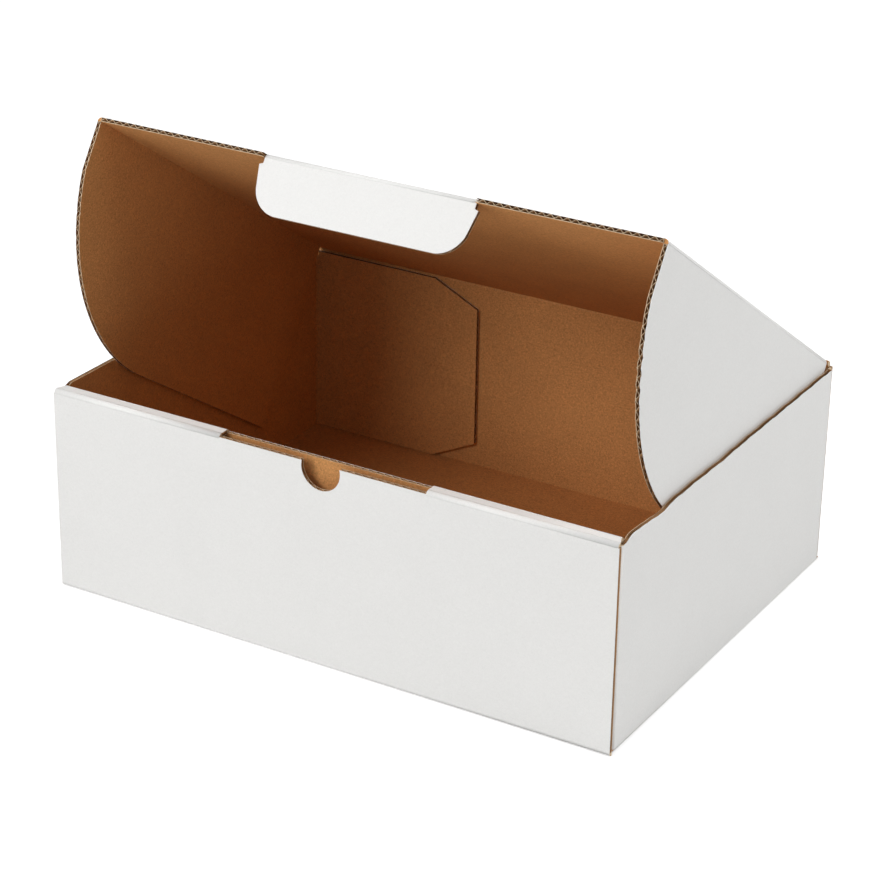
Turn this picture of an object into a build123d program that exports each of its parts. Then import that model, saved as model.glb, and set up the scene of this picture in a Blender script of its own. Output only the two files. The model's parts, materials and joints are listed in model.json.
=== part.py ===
from build123d import *
import os
from math import cos, radians, sin

# Corrugated mailer box, die-cut from one sheet and folded up, standing on its floor.
# Origin: middle of the underside. +X runs along the front wall, -Y faces the user, +Z is up.
# The lid stands partly open; it closes forwards and its tab tucks into the front wall.

# ---- driving dimensions (mm) ----
WIDTH = 314.0            # outside, along the front wall
DEPTH = 237.0            # outside, front face to back face
WALL_HEIGHT = 109.0      # floor underside to the walls' top edges
BOARD = 2.2              # caliper of the corrugated board
FOLD_RADIUS = 1.6        # outside radius of a scored fold
PLY_GAP = 0.2            # air between two sheets that lie together
HINGE_GAP = 0.3          # running clearance at a crease, and under the closed lid

# front wall: outer panel, top strip and inner panel, rolled over and locked into the floor
ROLL_SIDE_GAP = 0.5      # between the rolled-over strip and a side wall
LOCK_TONGUE_WIDTH = 34.0  # tongues of the inner panel that lock into the floor
LOCK_TONGUE_SPACING = 150.0
LOCK_CLEARANCE = 0.4

# slot for the lid's tab in the top strip, and the thumb notch in the outer panel
SLOT_LENGTH = 115.0
SLOT_EDGE_DROP = 1.5     # the panels' cut edges lie this far below the strip
NOTCH_RADIUS = 10.8
NOTCH_CENTRE_DROP = 4.0  # centre of the notch below the strip

# back wall, and the corner flaps on the ends of the side walls
BACK_WALL_INSET = 1.5
FLAP_GAP = 0.5           # between a corner flap and the floor or the top edges
BACK_FLAP_LENGTH = 106.5
BACK_FLAP_CORNER_X = 27.0
BACK_FLAP_CORNER_Z = 13.0
FRONT_FLAP_SLOT_GAP = 15.5  # the front flaps stop this far short of the tab's slot
FRONT_FLAP_CORNER_X = 12.0
FRONT_FLAP_CORNER_Z = 9.0

# lid, hinged on the back wall
LID_OPEN_ANGLE = 33.0    # rest position, measured from the closed lid
LID_SETBACK = 1.5        # the closed lid's raw front edge behind the front face
WING_SIDE_GAP = 0.8      # between a wing and the side wall that it slides down behind
WING_FRONT_GAP = 0.4     # between a wing and the inner front panel
WING_BACK_GAP = 0.4      # between a wing and the back corner flap
WING_FLOOR_GAP = 1.1
WING_CORNER_RADIUS = 99.0

# tuck tab on the lid's front edge, folded square to the lid
TAB_LENGTH = 27.0
TAB_SLOT_GAP = 0.9       # between the tab's widest place and the slot's end
TAB_POCKET_GAP = 0.26    # between the tab and either front panel, at its nearest
TAB_EAR = 0.9            # the tab widens by this much on each side below its crease
TAB_EAR_DROP = 3.0
TAB_TAPER = 3.8          # and narrows again by this much towards its tip
TAB_CORNER_RADIUS = 10.0

# ---- places worked out from the sizes above ----
HALF_W = WIDTH / 2
HALF_BOARD = BOARD / 2
FRONT = -DEPTH / 2
BACK = DEPTH / 2
INNER_HALF_W = HALF_W - BOARD
ROLL_HALF_W = INNER_HALF_W - ROLL_SIDE_GAP
# the tab's tip swings forwards as the lid shuts, and the front wall's pocket leaves room for it
TAB_SWING = TAB_LENGTH ** 2 / (2 * (DEPTH - 3 * BOARD))
POCKET = BOARD + TAB_SWING + 2 * TAB_POCKET_GAP
STRIP_DEPTH = POCKET + 2 * BOARD
ROLL_BACK = FRONT + STRIP_DEPTH             # back face of the inner front panel
WALL_FRONT = FRONT + BOARD + PLY_GAP        # the side walls start behind the outer panel
WALL_BACK = BACK - BOARD - PLY_GAP          # and end inside the back wall
FLAP_BOTTOM = BOARD + FLAP_GAP
FRONT_FLAP_LENGTH = HALF_W - SLOT_LENGTH / 2 - FRONT_FLAP_SLOT_GAP

HINGE_Y = BACK - HALF_BOARD
HINGE_Z = WALL_HEIGHT + HINGE_GAP + HALF_BOARD
LID_LENGTH = HINGE_Y - FRONT - LID_SETBACK
WING_OUTER_X = INNER_HALF_W - WING_SIDE_GAP
WING_TOP = HALF_BOARD + HINGE_GAP           # below the lid's middle plane
WING_BOTTOM = HINGE_Z - BOARD - WING_FLOOR_GAP
WING_REAR = HINGE_Y - (WALL_BACK - BOARD) + WING_BACK_GAP
WING_REACH = HINGE_Y - ROLL_BACK - WING_FRONT_GAP
WING_ROUND = min(WING_CORNER_RADIUS, 0.95 * (WING_BOTTOM - WING_TOP))
TAB_CREASE_REACH = HINGE_Y - ROLL_BACK + BOARD + TAB_POCKET_GAP + HALF_BOARD
TAB_HALF_W = SLOT_LENGTH / 2 - TAB_SLOT_GAP
TAB_ROOT_HALF_W = TAB_HALF_W - TAB_EAR
TAB_TIP_HALF_W = TAB_HALF_W - TAB_TAPER

lid_angle = radians(LID_OPEN_ANGLE)
LID_OUT = Vector(0, -cos(lid_angle), sin(lid_angle))     # from the hinge to the front edge
LID_UP = Vector(0, sin(lid_angle), cos(lid_angle))       # out of the lid's white face
HINGE = Vector(0, HINGE_Y, HINGE_Z)
TAB_CREASE = HINGE + LID_OUT * TAB_CREASE_REACH


def across_box(y):
    """A plane across the box at this depth: local x is +X, local y is +Z, normal -Y."""
    return Plane(origin=(0, y, 0), x_dir=(1, 0, 0), z_dir=(0, -1, 0))


def along_lid(x):
    """A plane square to X: local x runs from the hinge out along the lid, local y down."""
    return Plane(origin=HINGE + Vector(x, 0, 0), x_dir=LID_OUT, z_dir=(1, 0, 0))


def corner_flaps(front_face, length, top, corner_x, corner_z):
    """Two corner flaps with cut corners, one from each side wall, added to the open part."""
    root = INNER_HALF_W + HALF_BOARD
    tip = HALF_W - length
    with BuildSketch(across_box(front_face + BOARD)) as outline:
        with BuildLine():
            Polyline(
                (root, FLAP_BOTTOM), (tip + corner_x, FLAP_BOTTOM),
                (tip, FLAP_BOTTOM + corner_z), (tip, top - corner_z),
                (tip + corner_x, top), (root, top), close=True,
            )
        make_face()
        mirror(about=Plane.YZ)
    extrude(outline.sketch, amount=BOARD, dir=(0, -1, 0))


# ---- tray: floor, four walls, corner flaps and the rolled-over front, one folded sheet ----
with BuildPart() as tray:
    # floor and side walls, folded up along their bottom edges
    with BuildSketch(across_box(WALL_BACK)):
        with BuildLine():
            Polyline(
                (-HALF_W, 0), (HALF_W, 0), (HALF_W, WALL_HEIGHT),
                (INNER_HALF_W, WALL_HEIGHT), (INNER_HALF_W, BOARD),
                (-INNER_HALF_W, BOARD), (-INNER_HALF_W, WALL_HEIGHT),
                (-HALF_W, WALL_HEIGHT), close=True,
            )
        make_face()
        bottom_corners = vertices().group_by(Axis.Y)[0]
        fillet(bottom_corners, FOLD_RADIUS)
    extrude(amount=WALL_BACK - WALL_FRONT)
    outer_uprights = edges().filter_by(Axis.Z).filter_by(
        lambda edge: abs(edge.center().X) > HALF_W - HALF_BOARD
    )
    fillet(outer_uprights, FOLD_RADIUS)

    # floor between the front and the back fold
    with BuildSketch(Plane.XY):
        Rectangle(2 * INNER_HALF_W, DEPTH - 2 * BOARD)
    extrude(amount=BOARD)

    # outer front panel
    with BuildSketch(Plane.YZ):
        with Locations((FRONT, 0)):
            Rectangle(BOARD, WALL_HEIGHT, align=(Align.MIN, Align.MIN))
        fillet(vertices().group_by(Axis.X)[0], FOLD_RADIUS)
    extrude(amount=HALF_W, both=True)

    # top strip and inner front panel
    with BuildSketch(Plane.YZ):
        with BuildLine():
            Polyline(
                (FRONT + BOARD, WALL_HEIGHT), (ROLL_BACK, WALL_HEIGHT),
                (ROLL_BACK, BOARD + PLY_GAP), (ROLL_BACK - BOARD, BOARD + PLY_GAP),
                (ROLL_BACK - BOARD, WALL_HEIGHT - BOARD),
                (FRONT + BOARD, WALL_HEIGHT - BOARD), close=True,
            )
        make_face()
        top_corners = vertices().group_by(Axis.Y)[-1]
        fillet(top_corners.sort_by(Axis.X)[-1], FOLD_RADIUS)
    extrude(amount=ROLL_HALF_W, both=True)

    # back wall, a little narrower than the floor
    with BuildSketch(Plane.YZ):
        with Locations((BACK, 0)):
            Rectangle(BOARD, WALL_HEIGHT, align=(Align.MAX, Align.MIN))
        outer_corners = vertices().group_by(Axis.X)[-1]
        fillet(outer_corners.sort_by(Axis.Y)[0], FOLD_RADIUS)
    extrude(amount=HALF_W - BACK_WALL_INSET, both=True)

    # corner flaps: two hidden inside the front wall, two against the back wall
    corner_flaps(
        WALL_FRONT, FRONT_FLAP_LENGTH, WALL_HEIGHT - BOARD - FLAP_GAP,
        FRONT_FLAP_CORNER_X, FRONT_FLAP_CORNER_Z,
    )
    corner_flaps(
        WALL_BACK - BOARD, BACK_FLAP_LENGTH, WALL_HEIGHT - FLAP_GAP,
        BACK_FLAP_CORNER_X, BACK_FLAP_CORNER_Z,
    )

    # slots in the floor, and the inner panel's tongues standing in them
    tongue_y = ROLL_BACK - HALF_BOARD
    with BuildSketch(Plane.XY):
        with Locations((0, tongue_y)):
            with GridLocations(LOCK_TONGUE_SPACING, 0, 2, 1):
                Rectangle(LOCK_TONGUE_WIDTH + 2 * LOCK_CLEARANCE, BOARD + 2 * LOCK_CLEARANCE)
    extrude(amount=BOARD, mode=Mode.SUBTRACT)
    with BuildSketch(Plane.XY.offset(LOCK_CLEARANCE)):
        with Locations((0, tongue_y)):
            with GridLocations(LOCK_TONGUE_SPACING, 0, 2, 1):
                Rectangle(LOCK_TONGUE_WIDTH, BOARD)
    extrude(amount=BOARD)

    # slot for the lid's tab: the strip is cut away, and both panels end just below it
    with BuildSketch(Plane.YZ):
        with Locations((FRONT, WALL_HEIGHT)):
            Rectangle(STRIP_DEPTH, SLOT_EDGE_DROP, align=(Align.MIN, Align.MAX))
        with Locations((FRONT + BOARD, WALL_HEIGHT)):
            Rectangle(POCKET, BOARD, align=(Align.MIN, Align.MAX))
    extrude(amount=SLOT_LENGTH / 2, both=True, mode=Mode.SUBTRACT)

    # thumb notch through the outer panel
    with BuildSketch(across_box(FRONT + BOARD)):
        with Locations((0, WALL_HEIGHT - NOTCH_CENTRE_DROP)):
            Circle(NOTCH_RADIUS)
    extrude(amount=BOARD, mode=Mode.SUBTRACT)

# ---- lid: one flat panel with a rounded crease on the hinge line ----
with BuildPart() as lid:
    with BuildSketch(along_lid(0)):
        Rectangle(LID_LENGTH, BOARD, align=(Align.MIN, Align.CENTER))
        Circle(HALF_BOARD)
    extrude(amount=WING_OUTER_X, both=True)
    # the front edge steps back behind the tab's crease
    recess = LID_LENGTH - TAB_CREASE_REACH + HALF_BOARD + HINGE_GAP
    with BuildSketch(along_lid(0)):
        with Locations((LID_LENGTH, 0)):
            Rectangle(recess, BOARD, align=(Align.MAX, Align.CENTER))
    extrude(amount=TAB_HALF_W + HINGE_GAP, both=True, mode=Mode.SUBTRACT)


def wing(outer_face_x):
    """Outline of a wing on the side of the lid, kept inside the front wall as it swings."""
    with BuildSketch(along_lid(outer_face_x)) as outline:
        with Locations((WING_REAR, WING_TOP)):
            Rectangle(
                LID_LENGTH - WING_REAR, WING_BOTTOM - WING_TOP, align=(Align.MIN, Align.MIN)
            )
        lower_corners = vertices().group_by(Axis.Y)[-1]
        fillet(lower_corners.sort_by(Axis.X)[-1], WING_ROUND)
        Circle(WING_REACH, mode=Mode.INTERSECT)
    extrude(outline.sketch, amount=BOARD, dir=(1, 0, 0))


# ---- wings: the lid's two side flaps, which slide down inside the side walls ----
with BuildPart() as left_wing:
    wing(-WING_OUTER_X)

with BuildPart() as right_wing:
    wing(WING_OUTER_X - BOARD)

# ---- tuck tab: rounded crease, small ears, and a tapered tip with round corners ----
with BuildPart() as tuck_tab:
    with BuildSketch(Plane(origin=TAB_CREASE, x_dir=(1, 0, 0), z_dir=LID_OUT)):
        with BuildLine():
            Polyline(
                (-TAB_ROOT_HALF_W, 0), (-TAB_HALF_W, -TAB_EAR_DROP),
                (-TAB_TIP_HALF_W, -TAB_LENGTH), (TAB_TIP_HALF_W, -TAB_LENGTH),
                (TAB_HALF_W, -TAB_EAR_DROP), (TAB_ROOT_HALF_W, 0), close=True,
            )
        make_face()
        fillet(vertices().group_by(Axis.Y)[0], TAB_CORNER_RADIUS)
    extrude(amount=HALF_BOARD, both=True)
    with BuildSketch(Plane(origin=TAB_CREASE, x_dir=LID_OUT, z_dir=(1, 0, 0))):
        Circle(HALF_BOARD)
    extrude(amount=TAB_ROOT_HALF_W, both=True)

# ---- finished pieces ----
tray.part.label = "tray"
lid.part.label = "lid"
left_wing.part.label = "left_wing"
right_wing.part.label = "right_wing"
tuck_tab.part.label = "tuck_tab"

os.makedirs("parts", exist_ok=True)
export_step(tray.part, "parts/tray.step")
export_step(lid.part, "parts/lid.step")
export_step(left_wing.part, "parts/left_wing.step")
export_step(right_wing.part, "parts/right_wing.step")
export_step(tuck_tab.part, "parts/tuck_tab.step")

wing_crease = HINGE + Vector(WING_OUTER_X - BOARD, 0, 0) - LID_UP * WING_TOP
print("lid crease at", HINGE)
print("right wing crease at", wing_crease, "along", LID_OUT)
print("tab crease at", TAB_CREASE)
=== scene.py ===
import json
from math import asin, cos, exp, pi, sin, sqrt

import bmesh
import bpy
from mathutils import Matrix, Vector


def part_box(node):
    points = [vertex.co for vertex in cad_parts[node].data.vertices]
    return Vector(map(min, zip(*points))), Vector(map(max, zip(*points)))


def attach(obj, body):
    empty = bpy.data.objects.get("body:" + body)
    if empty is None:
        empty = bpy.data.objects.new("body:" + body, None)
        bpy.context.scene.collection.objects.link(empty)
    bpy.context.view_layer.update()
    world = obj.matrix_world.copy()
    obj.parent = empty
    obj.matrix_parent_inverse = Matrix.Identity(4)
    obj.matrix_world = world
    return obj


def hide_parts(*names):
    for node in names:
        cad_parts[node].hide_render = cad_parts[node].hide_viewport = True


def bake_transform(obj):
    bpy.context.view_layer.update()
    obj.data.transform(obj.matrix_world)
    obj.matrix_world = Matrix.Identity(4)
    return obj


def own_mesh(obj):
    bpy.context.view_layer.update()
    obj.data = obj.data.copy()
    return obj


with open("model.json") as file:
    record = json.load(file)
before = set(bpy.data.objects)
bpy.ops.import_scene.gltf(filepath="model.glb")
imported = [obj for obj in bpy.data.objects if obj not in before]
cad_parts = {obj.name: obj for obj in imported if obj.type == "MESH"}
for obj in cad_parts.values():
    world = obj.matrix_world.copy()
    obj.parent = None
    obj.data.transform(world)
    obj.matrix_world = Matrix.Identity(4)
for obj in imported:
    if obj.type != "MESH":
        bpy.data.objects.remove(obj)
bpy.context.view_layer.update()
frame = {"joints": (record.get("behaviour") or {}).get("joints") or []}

# Tray floor: the middle of the one die-cut sheet that folds into the whole box.
# The sheet is single-wall board: a white outer liner and a brown kraft inner liner, glued to
# the crests of a fluted kraft medium. Its flutes run from the front of the box to the back.
BOARD = 0.0022
LINER = 0.00024
MEDIUM = 0.00018
FLUTE_PITCH = 0.0043
STEPS_PER_FLUTE = 10
FLUTE_INSET = 0.00015
FOLD_STEPS = 8
X_AXIS, Y_AXIS, Z_AXIS = Vector((1, 0, 0)), Vector((0, 1, 0)), Vector((0, 0, 1))


def paper(name, colour, cloud, grain, roughness, bumpiness):
    """A sheet of paper: faint clouds of pulp, a grain of short fibres and a few dark flecks."""
    material = bpy.data.materials.new(name)
    material.use_nodes = True
    nodes, links = material.node_tree.nodes, material.node_tree.links
    shader = nodes["Principled BSDF"]
    shader.inputs["Roughness"].default_value = roughness
    shader.inputs["Specular IOR Level"].default_value = 0.2
    place = nodes.new("ShaderNodeTexCoord").outputs["Object"]

    def noise(scale, detail, distortion):
        texture = nodes.new("ShaderNodeTexNoise")
        texture.inputs["Scale"].default_value = scale
        texture.inputs["Detail"].default_value = detail
        texture.inputs["Distortion"].default_value = distortion
        links.new(place, texture.inputs["Vector"])
        return texture.outputs["Fac"]

    def shade(value, low, high, at_low, at_high):
        ramp = nodes.new("ShaderNodeMapRange")
        ramp.inputs["From Min"].default_value = low
        ramp.inputs["From Max"].default_value = high
        ramp.inputs["To Min"].default_value = at_low
        ramp.inputs["To Max"].default_value = at_high
        links.new(value, ramp.inputs["Value"])
        return ramp.outputs["Result"]

    def times(first, second):
        product = nodes.new("ShaderNodeMath")
        product.operation = "MULTIPLY"
        links.new(first, product.inputs[0])
        links.new(second, product.inputs[1])
        return product.outputs["Value"]

    fibres = noise(1100, 3, 1.2)
    clouds = shade(noise(38, 4, 0), 0.3, 0.7, 1 - cloud, 1 + cloud)
    flecks = shade(noise(420, 2, 2), 0.70, 0.78, 1, 1 - 1.2 * grain)
    level = times(times(clouds, shade(fibres, 0.3, 0.7, 1 - grain, 1 + grain)), flecks)
    tint = nodes.new("ShaderNodeMix")
    tint.data_type = "RGBA"
    tint.blend_type = "MULTIPLY"
    tint.inputs["Factor"].default_value = 1
    tint.inputs["A"].default_value = (*colour, 1)
    links.new(level, tint.inputs["B"])
    links.new(tint.outputs["Result"], shader.inputs["Base Color"])

    bump = nodes.new("ShaderNodeBump")
    bump.inputs["Strength"].default_value = bumpiness
    bump.inputs["Distance"].default_value = 0.00005
    links.new(fibres, bump.inputs["Height"])
    links.new(bump.outputs["Normal"], shader.inputs["Normal"])
    return material


PAPERS = [
    paper("white_liner", (0.86, 0.855, 0.838), 0.006, 0.03, 0.6, 0.15),
    paper("kraft_liner", (0.60, 0.285, 0.10), 0.04, 0.26, 0.85, 0.5),
    paper("flute_paper", (0.32, 0.17, 0.075), 0.05, 0.2, 0.9, 0.6),
    paper("cut_edge", (0.72, 0.56, 0.38), 0.06, 0.2, 0.9, 0.6),
]
WHITE, KRAFT, FLUTE, EDGE = range(4)


def add_liner(mesh, outline, low, high, is_white):
    """A liner cut to the outline, between two heights. The white one is the upper."""
    corners = [mesh.verts.new((x, y, low)) for x, y in outline]
    grown = bmesh.ops.extrude_face_region(mesh, geom=[mesh.faces.new(corners)])["geom"]
    lifted = [g for g in grown if isinstance(g, bmesh.types.BMVert)]
    bmesh.ops.translate(mesh, verts=lifted, vec=(0, 0, high - low))
    sheet = {face for corner in corners + lifted for face in corner.link_faces}
    bmesh.ops.recalc_face_normals(mesh, faces=list(sheet))
    for face in sheet:
        outward = face.normal.z if is_white else -face.normal.z
        if abs(face.normal.z) < 0.5:
            face.material_index = WHITE if is_white else EDGE
        elif outward > 0:
            face.material_index = WHITE if is_white else KRAFT
        else:
            face.material_index = FLUTE


def span(outline, across, u):
    """Where a line at u across the flutes enters and leaves the outline."""
    along = 1 - across
    met = []
    for first, second in zip(outline, outline[1:] + outline[:1]):
        low, high = sorted((first, second), key=lambda point: point[across])
        if low[across] <= u < high[across]:
            share = (u - low[across]) / (high[across] - low[across])
            met.append(low[along] + (high[along] - low[along]) * share)
    met.sort()
    return met[:2]


def add_medium(mesh, outline, across):
    """The wavy medium, swept along the flutes from one cut edge of the outline to the other.
    A cut along a flute crushes it shut, so the wave starts and ends with an upright."""
    crest = BOARD / 2 - LINER - MEDIUM
    low = min(point[across] for point in outline) + FLUTE_INSET
    high = max(point[across] for point in outline) - FLUTE_INSET
    steps = max(int((high - low) / FLUTE_PITCH * STEPS_PER_FLUTE), 8)
    wave = [(low, -crest)]
    for i in range(steps + 1):
        u = low + (high - low) * i / steps
        wave.append((u, crest * cos(2 * pi * (u - low) / FLUTE_PITCH)))
    wave.append((high, -wave[-1][1]))

    def point(u, v, z):
        return (v, u, z) if across else (u, v, z)

    liners = set(mesh.faces)
    line = []
    for u, z in wave:
        start = span(outline, across, u)[0] + FLUTE_INSET / 3
        line.append(mesh.verts.new(point(u, start, z)))
    edges = [mesh.edges.new(pair) for pair in zip(line, line[1:])]
    swept = bmesh.ops.extrude_edge_only(mesh, edges=edges)["geom"]
    for vertex in swept:
        if isinstance(vertex, bmesh.types.BMVert):
            u = vertex.co.y if across else vertex.co.x
            end = span(outline, across, u)[1] - FLUTE_INSET / 3
            vertex.co = point(u, end, vertex.co.z)
    faces = [g for g in swept if isinstance(g, bmesh.types.BMFace)]
    mesh.normal_update()
    bmesh.ops.solidify(mesh, geom=faces, thickness=MEDIUM)
    medium = set(mesh.faces) - liners
    bmesh.ops.recalc_face_normals(mesh, faces=list(medium))
    for face in medium:
        run = abs(face.normal.x if across else face.normal.y)
        face.material_index = EDGE if run > 0.7 else FLUTE
        face.smooth = run <= 0.7


def board(outline, across, place):
    """A flat panel of board, set in place by a matrix: local z points to its white side, and
    across is 0 or 1 for flutes that follow each other along local x or local y."""
    mesh = bmesh.new()
    add_liner(mesh, outline, BOARD / 2 - LINER, BOARD / 2, True)
    add_liner(mesh, outline, -BOARD / 2, LINER - BOARD / 2, False)
    add_medium(mesh, outline, across)
    bmesh.ops.transform(mesh, matrix=place, verts=mesh.verts)
    bmesh.ops.recalc_face_normals(mesh, faces=mesh.faces)
    return mesh


def rectangle(x0, x1, y0, y1):
    return [(x0, y0), (x1, y0), (x1, y1), (x0, y1)]


def axes(origin, x_dir, y_dir, flipped=False):
    """Sets local x and y along two directions. The white side is along x cross y, or turned
    to the other side where flipped."""
    x_dir, y_dir = Vector(x_dir).normalized(), Vector(y_dir).normalized()
    z_dir = x_dir.cross(y_dir) * (-1 if flipped else 1)
    turn = Matrix((x_dir, y_dir, z_dir)).transposed().to_4x4()
    return Matrix.Translation(origin) @ turn


def fold(centre, start, end, along, length, end_paper=EDGE):
    """A scored fold: board crushed along a line and turned about its inner corner, from the
    direction start to the direction end."""
    centre, start, along = Vector(centre), Vector(start), Vector(along)
    angle = start.angle(end) * (1 if start.cross(end).dot(along) > 0 else -1)
    mesh = bmesh.new()
    hub = mesh.verts.new(centre - along * length / 2)
    rim = mesh.verts.new(hub.co + start * BOARD)
    bmesh.ops.spin(
        mesh, geom=[rim], cent=hub.co, axis=along, dvec=(0, 0, 0), angle=angle,
        steps=FOLD_STEPS,
    )
    mesh.verts.ensure_lookup_table()
    face = mesh.faces.new(mesh.verts)
    grown = bmesh.ops.extrude_face_region(mesh, geom=[face])["geom"]
    far = [g for g in grown if isinstance(g, bmesh.types.BMVert)]
    bmesh.ops.translate(mesh, verts=far, vec=along * length)
    bmesh.ops.recalc_face_normals(mesh, faces=mesh.faces)
    for face in mesh.faces:
        from_hub = min((corner.co - centre).cross(along).length for corner in face.verts)
        if abs(face.normal.dot(along)) > 0.9:
            face.material_index = end_paper
        elif from_hub > BOARD / 2:
            face.material_index = WHITE
            face.smooth = True
        else:
            face.material_index = KRAFT
    return mesh


def piece(name, meshes):
    """One object from its panels and folds, in the four papers."""
    joined = bmesh.new()
    for mesh in meshes:
        panel = bpy.data.meshes.new("panel")
        mesh.to_mesh(panel)
        mesh.free()
        joined.from_mesh(panel)
        bpy.data.meshes.remove(panel)
    whole = bpy.data.meshes.new(name)
    joined.to_mesh(whole)
    joined.free()
    for material in PAPERS:
        whole.materials.append(material)
    result = bpy.data.objects.new(name, whole)
    bpy.context.scene.collection.objects.link(result)
    return result


low_corner, high_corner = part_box("tray")
LEFT, FRONT, _ = low_corner
RIGHT, BACK, TOP = high_corner
IN_RIGHT = RIGHT - BOARD
HALF = BOARD / 2

tray_floor = piece("tray_floor", [
    board(
        rectangle(-IN_RIGHT, IN_RIGHT, FRONT + BOARD, BACK - BOARD), 0,
        axes((0, 0, HALF), X_AXIS, Y_AXIS, flipped=True),
    ),
])
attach(tray_floor, "tray")
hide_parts("tray")

# Back wall: folded up from the floor's back edge. It is cut a little narrower than the box,
# so that the side walls' corner flaps can turn in behind it.
BACK_INSET = 0.0015
back_half = RIGHT - BACK_INSET
back_wall = piece("back_wall", [
    board(
        rectangle(-back_half, back_half, BOARD, TOP), 0,
        axes((0, BACK - HALF, 0), -X_AXIS, Z_AXIS),
    ),
    fold((0, BACK - BOARD, BOARD), Y_AXIS, -Z_AXIS, X_AXIS, 2 * back_half),
])
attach(back_wall, "tray")

# Side walls: folded up from the floor's sides. Their top edges are cut along the flutes, so
# they crush; the right one is worn wavy, with a dip where the lid's wing rubs it.
PLY_GAP = 0.0002
WALL_FRONT = FRONT + BOARD + PLY_GAP
WALL_BACK = BACK - BOARD - PLY_GAP
WALL_STEPS = 90
TOP_CUT = 0.0004
STRIP_GAP = 0.0001
RISE_START, RISE_LENGTH = 0.0070, 0.005
DIPS = ((0.0016, 0.040, 0.010), (0.0005, 0.105, 0.016))
WAVES = ((0.00016, 310), (0.0001, 730))
wall_length = WALL_BACK - WALL_FRONT - 2 * BOARD
wall_middle = (WALL_BACK + WALL_FRONT) / 2


def worn_top(behind, side):
    """Height of a side wall's top edge at a distance behind the box's front face: it starts
    below the front strip and rises clear of it."""
    full = TOP - TOP_CUT
    if side > 0:
        for depth, place, width in DIPS:
            full -= depth * exp(-((behind - place) / width) ** 2)
        for height, pitch in WAVES:
            full -= height * sin(behind * pitch)
    under = TOP - BOARD - STRIP_GAP
    rise = min(max((behind - RISE_START) / RISE_LENGTH, 0), 1)
    return under + (full - under) * rise * rise * (3 - 2 * rise)


walls = []
for side in (-1, 1):
    outline = [(-wall_length / 2, BOARD), (wall_length / 2, BOARD)]
    for i in range(WALL_STEPS + 1):
        local = wall_length / 2 - wall_length * i / WALL_STEPS
        outline.append((local, worn_top(side * local + wall_middle - FRONT, side)))
    walls += [
        board(outline, 1, axes((side * (IN_RIGHT + HALF), wall_middle, 0), (0, side, 0), Z_AXIS)),
        fold(
            (side * IN_RIGHT, wall_middle, BOARD), -Z_AXIS, side * X_AXIS, Y_AXIS,
            WALL_BACK - WALL_FRONT,
        ),
        fold(
            (side * IN_RIGHT, WALL_FRONT + BOARD, TOP / 2), side * X_AXIS, -Y_AXIS, Z_AXIS,
            TOP - 2 * (BOARD + STRIP_GAP),
        ),
        fold(
            (side * IN_RIGHT, WALL_BACK - BOARD, (TOP + BOARD) / 2), side * X_AXIS, Y_AXIS,
            Z_AXIS, TOP - BOARD,
        ),
    ]
side_walls = piece("side_walls", walls)
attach(side_walls, "tray")

# Corner flaps: the side walls' ends, turned in at the four corners with their outer corners
# cut off. The back pair lies against the back wall; the front pair hides in the front wall.
FLAP_GAP = 0.0005
BACK_FLAP = (0.1065, 0.027, 0.013)
FRONT_FLAP = (0.084, 0.012, 0.009)


def corner_flap(size, top, side, y, flipped):
    """A flap from a side wall inwards: its length and how far its cut corners go in and down."""
    length, cut_in, cut_down = size
    length -= BOARD
    bottom = BOARD + FLAP_GAP
    outline = [
        (0, bottom), (length - cut_in, bottom), (length, bottom + cut_down),
        (length, top - cut_down), (length - cut_in, top), (0, top),
    ]
    return board(outline, 1, axes((side * IN_RIGHT, y, 0), (-side, 0, 0), Z_AXIS, flipped))


flaps = []
for side in (-1, 1):
    flaps += [
        corner_flap(FRONT_FLAP, TOP - BOARD - FLAP_GAP, side, WALL_FRONT + HALF, side > 0),
        corner_flap(BACK_FLAP, TOP - FLAP_GAP, side, WALL_BACK - HALF, side < 0),
    ]
corner_flaps = piece("corner_flaps", flaps)
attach(corner_flaps, "tray")

# Front wall: folded up, over the corner flaps and down again, so that it holds itself shut.
# The slot for the tuck tab is cut across its top, with a round thumb notch below it.
POCKET = 0.004302
SLOT_HALF = 0.0575
SLOT_DROP = 0.0015
NOTCH_R = 0.0108
NOTCH_DROP = 0.004
ROLL_SIDE_GAP = 0.0005
STRIP_TAPER = 0.0019
NOTCH_STEPS = 32
ROLL_BACK = FRONT + POCKET + 2 * BOARD
slot_edge = TOP - SLOT_DROP
notch_z = TOP - NOTCH_DROP
strip_z = TOP - BOARD
lip = asin((NOTCH_DROP - SLOT_DROP) / NOTCH_R)
notch = []
for i in range(NOTCH_STEPS + 1):
    angle = lip - (pi + 2 * lip) * i / NOTCH_STEPS
    notch.append((NOTCH_R * cos(angle), notch_z + NOTCH_R * sin(angle)))
outer_outline = [
    (LEFT, BOARD), (RIGHT, BOARD), (RIGHT, strip_z), (SLOT_HALF, strip_z), (SLOT_HALF, slot_edge),
    *notch, (-SLOT_HALF, slot_edge), (-SLOT_HALF, strip_z), (LEFT, strip_z),
]
roll_half = IN_RIGHT - ROLL_SIDE_GAP
inner_outline = [
    (-roll_half, BOARD + PLY_GAP), (roll_half, BOARD + PLY_GAP), (roll_half, strip_z),
    (SLOT_HALF, strip_z), (SLOT_HALF, slot_edge), (-SLOT_HALF, slot_edge),
    (-SLOT_HALF, strip_z), (-roll_half, strip_z),
]
front_panels = [
    board(outer_outline, 0, axes((0, FRONT + HALF, 0), X_AXIS, Z_AXIS)),
    board(inner_outline, 0, axes((0, ROLL_BACK - HALF, 0), -X_AXIS, Z_AXIS)),
    fold((0, FRONT + BOARD, BOARD), -Y_AXIS, -Z_AXIS, X_AXIS, RIGHT - LEFT),
]
strip_front, strip_back = FRONT + BOARD, ROLL_BACK - BOARD
end_front = RIGHT - ROLL_SIDE_GAP
end_back = end_front - STRIP_TAPER
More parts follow.
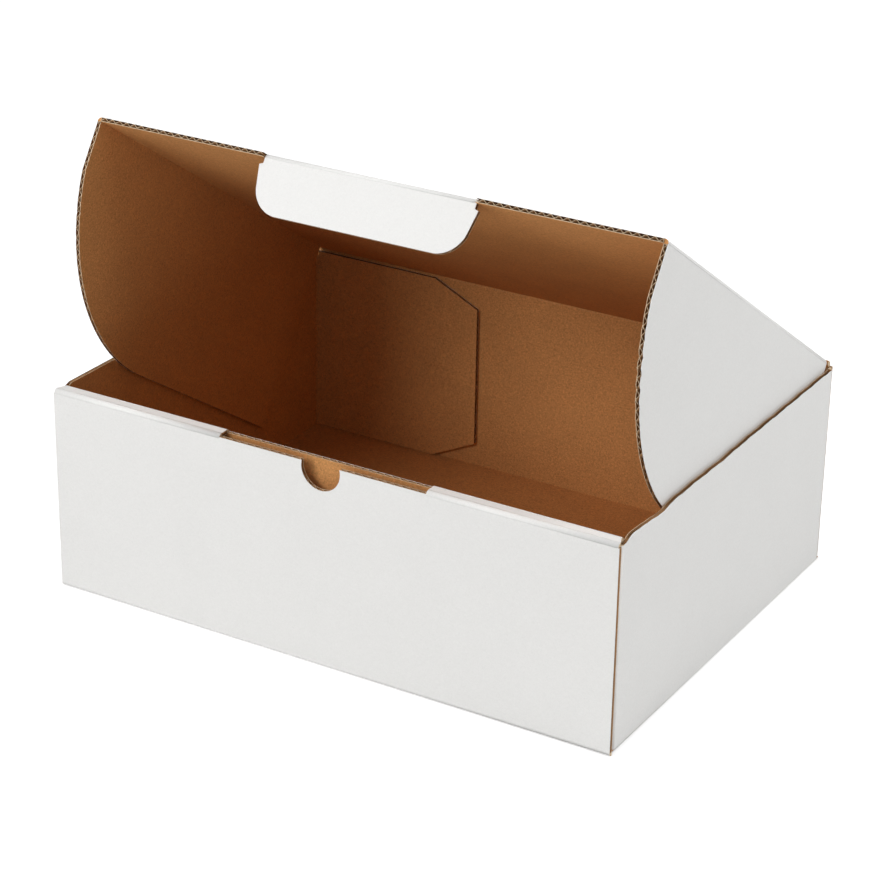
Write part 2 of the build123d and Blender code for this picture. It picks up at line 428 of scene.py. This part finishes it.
for side in (-1, 1):
    strip = [
        (SLOT_HALF, strip_front), (end_front, strip_front), (end_back, strip_back),
        (SLOT_HALF, strip_back),
    ]
    strip = [(side * x, y) for x, y in strip][::side]
    front_panels += [
        board(strip, 0, axes((0, 0, TOP - HALF), X_AXIS, Y_AXIS)),
        fold(
            (side * (SLOT_HALF + end_front) / 2, strip_front, strip_z), -Y_AXIS, Z_AXIS, X_AXIS,
            end_front - SLOT_HALF,
        ),
        fold(
            (side * (SLOT_HALF + end_back) / 2, strip_back, strip_z), Z_AXIS, Y_AXIS, X_AXIS,
            end_back - SLOT_HALF,
        ),
    ]
front_wall = piece("front_wall", front_panels)
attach(front_wall, "tray")

# Lid: the top panel. Its front edge is cut straight across the flutes, and steps back in the
# middle to the crease that the tuck tab hangs from.
LID_SIDE_GAP = 0.0008
LID_SETBACK = 0.0015
LID_START = 0.002
RECESS_GAP = 0.0001


def joint_point(name):
    return Vector(next(j for j in frame["joints"] if j["name"] == name)["pos_m"])


hinge = joint_point("lid_hinge")
tab_axis = joint_point("tuck_tab_fold")
out = (tab_axis - hinge).normalized()
up = Vector((0, out.z, -out.y))
tab_reach = (tab_axis - hinge).length
lid_length = hinge.y - FRONT - LID_SETBACK
lid_half = IN_RIGHT - LID_SIDE_GAP
panel_half = lid_half - BOARD
recess = SLOT_HALF + RECESS_GAP
lid_outline = [
    (-panel_half, LID_START), (panel_half, LID_START), (panel_half, lid_length),
    (recess, lid_length), (recess, tab_reach - HALF), (-recess, tab_reach - HALF),
    (-recess, lid_length), (-panel_half, lid_length),
]
lid_board = piece("lid_board", [board(lid_outline, 0, axes(hinge, -X_AXIS, out))])
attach(lid_board, "lid")
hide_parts("lid")

# Lid crease: the scored line along the top of the back wall, where the crushed board turns
# over from the wall into the lid. The real crease bends as the lid opens; this one is built once,
# at the lid's present angle, and does not move with the lid.
ROOT_DEPTH = 0.0005
LID_OVERLAP = 0.0003
UNDER_STEP = 0.0004
root = TOP - ROOT_DEPTH
section = [(BACK, root), (BACK, hinge.z)]
lid_angle = Vector((up.y, up.z)).angle(Vector((1, 0)))
for i in range(1, FOLD_STEPS + 1):
    turn = lid_angle * i / FOLD_STEPS
    section.append((hinge.y + HALF * cos(turn), hinge.z + HALF * sin(turn)))
under = hinge - up * HALF
far = out * (LID_START + LID_OVERLAP)
for corner in (hinge + up * HALF + far, under + far, under + out * UNDER_STEP):
    section.append((corner.y, corner.z))
section.append((BACK - BOARD, root))
mesh = bmesh.new()
face = mesh.faces.new([mesh.verts.new((-lid_half, y, z)) for y, z in section])
grown = bmesh.ops.extrude_face_region(mesh, geom=[face])["geom"]
moved = [g for g in grown if isinstance(g, bmesh.types.BMVert)]
bmesh.ops.translate(mesh, verts=moved, vec=(2 * lid_half, 0, 0))
bmesh.ops.recalc_face_normals(mesh, faces=mesh.faces)
for face in mesh.faces:
    outward = face.normal.y * 0.9 + face.normal.z * 0.5
    if abs(face.normal.x) > 0.9:
        face.material_index = EDGE
    else:
        face.material_index = WHITE if outward > 0.3 else KRAFT
lid_crease = piece("lid_crease", [mesh])
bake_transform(lid_crease)

# Wings: the lid's side flaps, which slide down inside the side walls as the lid shuts. Each
# has one big round lower corner. Their front edges are crushed and wavy from rubbing on the
# front wall. The tip, which is longer than the room behind it, is cut off as a piece of its own
# that moves rigidly with the wing; nothing makes it give as the lid shuts.
WING_FLOOR_GAP = 0.0011
WING_REAR = 0.0039
WING_TIP = 0.2336
ROUND_R = 0.0995
ROUND_S = 0.1357
TIP_CUT = hinge.y - ROLL_BACK - PLY_GAP
TIP_SLIVER = 0.0001
CRUSH_MIDDLE, CRUSH_WIDTH = 0.055, 0.018
CRUSH_DEPTH = {-1: 0.0003, 1: 0.0016}
EDGE_STEPS = 120
wing_bottom = hinge.z - BOARD - WING_FLOOR_GAP
round_w = wing_bottom - ROUND_R


def wing_edge(w, side):
    """How far out the wing's worn front edge is at a distance below the lid."""
    reach = WING_TIP
    if w > round_w:
        reach = min(reach, ROUND_S + sqrt(max(ROUND_R ** 2 - (w - round_w) ** 2, 0)))
    rub = exp(-((w - CRUSH_MIDDLE) / CRUSH_WIDTH) ** 2) * CRUSH_DEPTH[side]
    return reach - rub * (0.6 + 0.4 * sin(w * 900) + 0.2 * sin(w * 1900))


for side, name in ((-1, "left_wing"), (1, "right_wing")):
    edge = []
    for i in range(EDGE_STEPS + 1):
        w = HALF + (wing_bottom - HALF) * sin(pi / 2 * i / EDGE_STEPS)
        edge.append((wing_edge(w, side), w))
    place = axes(hinge + side * (lid_half - HALF) * X_AXIS, out, -up, flipped=side < 0)
    panel = [(WING_REAR, HALF)] + [(min(s, TIP_CUT), w) for s, w in edge]
    wing = piece(name + "_board", [
        board(panel + [(WING_REAR, wing_bottom)], 1, place),
    ])
    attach(wing, name)
    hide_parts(name)

    past = [(s, w) for s, w in edge if s > TIP_CUT + TIP_SLIVER]
    tip = piece(name + "_tip", [
        board([(TIP_CUT, HALF)] + past + [(TIP_CUT, past[-1][1])], 1, place),
    ])
    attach(tip, name)
    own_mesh(tip)

    middle = out * (WING_REAR + WING_TIP) / 2
    centre = hinge + side * panel_half * X_AXIS - up * HALF + middle
    crease = piece(name + "_crease", [
        fold(centre, up, side * X_AXIS, out, WING_TIP - WING_REAR, KRAFT),
    ])
    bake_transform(crease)

# Tuck tab: hangs from the lid's front crease. Below a neck as wide as the slot it spreads
# into two small ears that catch under the front strip, then tapers to round corners.
TAB_LENGTH = 0.0275
TAB_NECK = 0.0573
TAB_EARS = 0.0593
NECK_END, EARS_START = 0.0037, 0.0044
TAB_TAPER = 0.0045
TAB_ROUND = 0.012
TAB_STEPS = 32


def tab_half(w):
    """Half the tab's width at a distance from its crease."""
    if w < EARS_START:
        return TAB_NECK + (TAB_EARS - TAB_NECK) * max(w - NECK_END, 0) / (EARS_START - NECK_END)
    straight = TAB_EARS - TAB_TAPER * (w - EARS_START) / (TAB_LENGTH - EARS_START)
    into = max(w - (TAB_LENGTH - TAB_ROUND), 0)
    return straight - TAB_ROUND + sqrt(max(TAB_ROUND ** 2 - into ** 2, 0))


depths = [HALF, NECK_END, EARS_START]
for i in range(1, TAB_STEPS + 1):
    depths.append(EARS_START + (TAB_LENGTH - EARS_START) * sin(pi / 2 * i / TAB_STEPS))
tab_outline = [(tab_half(w), w) for w in depths]
tab_outline += [(-x, w) for x, w in reversed(tab_outline)]
tab_board = piece("tuck_tab_board", [
    board(tab_outline, 0, axes(tab_axis, X_AXIS, -up, flipped=True)),
])
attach(tab_board, "tuck_tab")
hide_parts("tuck_tab")
corner = tab_axis - out * HALF - up * HALF
tab_crease = piece("tuck_tab_crease", [
    fold(corner, up, out, X_AXIS, 2 * TAB_NECK),
])
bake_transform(tab_crease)

# Studio: a pale floor that keeps the box's shadow, a white backdrop, and three soft lamps:
# the main one low at the front left, one behind the right side, and one overhead.
FLOOR_GLOW = 0.5
SKY_LIGHT, SKY_SEEN = 0.30, 1.0
bpy.ops.mesh.primitive_plane_add(size=20, location=(0, 0, 0))
ground = bpy.context.object
ground.name = "studio_floor"
ground_paint = bpy.data.materials.new("studio_floor")
ground_paint.use_nodes = True
nodes, links = ground_paint.node_tree.nodes, ground_paint.node_tree.links
shader = nodes["Principled BSDF"]
shader.inputs["Base Color"].default_value = (0.8, 0.8, 0.8, 1)
shader.inputs["Roughness"].default_value = 0.9
shader.inputs["Emission Color"].default_value = (1, 1, 1, 1)
ray = nodes.new("ShaderNodeLightPath")
seen = nodes.new("ShaderNodeMath")
seen.operation = "MAXIMUM"
links.new(ray.outputs["Is Camera Ray"], seen.inputs[0])
links.new(ray.outputs["Is Glossy Ray"], seen.inputs[1])
glow = nodes.new("ShaderNodeMath")
glow.operation = "MULTIPLY"
glow.inputs[1].default_value = FLOOR_GLOW
links.new(seen.outputs["Value"], glow.inputs[0])
links.new(glow.outputs["Value"], shader.inputs["Emission Strength"])
ground.data.materials.append(ground_paint)

world = bpy.data.worlds.new("studio")
bpy.context.scene.world = world
world.use_nodes = True
nodes, links = world.node_tree.nodes, world.node_tree.links
sky = nodes["Background"]
sky.inputs["Color"].default_value = (1, 1, 1, 1)
ray = nodes.new("ShaderNodeLightPath")
strength = nodes.new("ShaderNodeMapRange")
strength.inputs["To Min"].default_value = SKY_LIGHT
strength.inputs["To Max"].default_value = SKY_SEEN
links.new(ray.outputs["Is Camera Ray"], strength.inputs["Value"])
links.new(strength.outputs["Result"], sky.inputs["Strength"])


def lamp(name, place, power):
    light = bpy.data.lights.new(name, "AREA")
    light.shape = "DISK"
    light.size = 1.2
    light.energy = power
    holder = bpy.data.objects.new(name, light)
    bpy.context.scene.collection.objects.link(holder)
    holder.location = place
    aim = Vector((0, 0, 0.1)) - Vector(place)
    holder.rotation_euler = aim.to_track_quat("-Z", "Y").to_euler()


lamp("front_lamp", (-1.0, -1.9, 1.2), 26)
lamp("side_lamp", (2.0, 1.2, 1.3), 23)
lamp("top_lamp", (0, -0.2, 2.6), 22)

# Camera: a long lens at eye height, off the box's front right corner.
LENS = 112.2
CAMERA_PLACE = Vector((0.63532, -1.08857, 0.65287))
YAW, PITCH, ROLL = -0.5317, 0.4303, 0.0176
camera_data = bpy.data.cameras.new("camera")
camera_data.sensor_width = 36
camera_data.lens = LENS
camera = bpy.data.objects.new("camera", camera_data)
bpy.context.scene.collection.objects.link(camera)
forward = Vector((sin(YAW) * cos(PITCH), cos(YAW) * cos(PITCH), -sin(PITCH)))
right = Vector((cos(YAW), -sin(YAW), 0))
above = right.cross(forward)
right, above = right * cos(ROLL) + above * sin(ROLL), above * cos(ROLL) - right * sin(ROLL)
turn = Matrix((right, above, -forward)).transposed().to_4x4()
camera.matrix_world = Matrix.Translation(CAMERA_PLACE) @ turn
bpy.context.scene.camera = camera
bpy.context.scene.view_settings.view_transform = "Standard"
